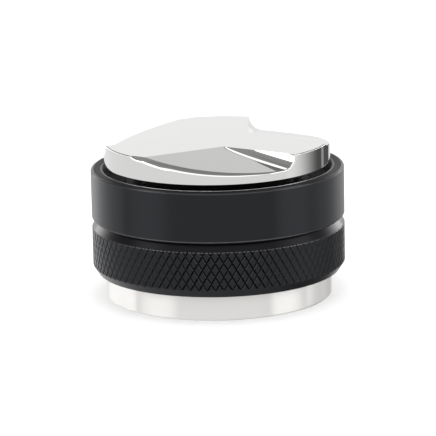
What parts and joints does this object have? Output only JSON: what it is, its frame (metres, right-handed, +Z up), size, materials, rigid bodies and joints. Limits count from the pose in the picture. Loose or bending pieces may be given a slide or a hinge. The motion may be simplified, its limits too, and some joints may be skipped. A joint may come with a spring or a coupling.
{
  "type": "espresso distributor and tamper",
  "caption": "Two-sided espresso tool: a three-wedge distributor head and a flat tamper head, each set to depth by turning it in a black knurled housing.",
  "frame": {"origin": "centre of the flat tamper face, which the tool stands on", "axes": "+Z up the axis of both heads, towards the distributor's flat top; X and Y are fixed to the distributor, one of whose walls ends at -47.5 degrees from +X"},
  "size_m": [0.065, 0.065, 0.0403],
  "materials": {
    "polished_steel": "mirror-polished stainless steel",
    "turned_steel": "fine-turned stainless steel",
    "black_satin": "black anodised, satin",
    "black_knurl": "black anodised over a diamond knurl",
    "black_oxide": "turned steel, black oxide",
    "black_nylon": "moulded black nylon",
    "spring_steel": "phosphated",
    "screw_steel": "plain stainless"
  },
  "bodies": {
    "housing": {"upper_housing": "black_satin", "lower_housing": "black_knurl", "housing_screw_1": "screw_steel", "housing_screw_2": "screw_steel", "housing_screw_3": "screw_steel", "distributor_thread_ring": "black_oxide", "distributor_friction_ring": "black_nylon", "tamper_thread_ring": "black_oxide", "tamper_friction_ring": "black_nylon"},
    "distributor_stop": {"distributor_snap_ring": "spring_steel"},
    "distributor": {"distributor_head": "polished_steel", "distributor_carrier": "black_satin", "distributor_screw_1": "screw_steel", "distributor_screw_2": "screw_steel", "distributor_screw_3": "screw_steel"},
    "tamper_stop": {"tamper_snap_ring": "spring_steel"},
    "tamper": {"tamper_head": "turned_steel", "tamper_carrier": "black_satin", "tamper_screw_1": "screw_steel", "tamper_screw_2": "screw_steel", "tamper_screw_3": "screw_steel"}
  },
  "joints": [
    {"name": "distributor_depth", "type": "slide", "parent": "housing", "child": "distributor_stop", "axis": [0, 0, 1], "range_m": [-0.002, 0.002]},
    {"name": "distributor_turn", "type": "hinge", "parent": "distributor_stop", "child": "distributor", "pos_m": [0, 0, 0.037], "axis": [0, 0, 1], "range_deg": [-480, 480]},
    {"name": "tamper_depth", "type": "slide", "parent": "housing", "child": "tamper_stop", "axis": [0, 0, -1], "range_m": [-0.002, 0.002]},
    {"name": "tamper_turn", "type": "hinge", "parent": "tamper_stop", "child": "tamper", "pos_m": [0, 0, 0.003], "axis": [0, 0, -1], "range_deg": [-480, 480]}
  ],
  "couplings": [
    {"joint": "distributor_depth", "follows": "distributor_turn", "m_per_rad": 0.00023873},
    {"joint": "tamper_depth", "follows": "tamper_turn", "m_per_rad": 0.00023873}
  ]
}
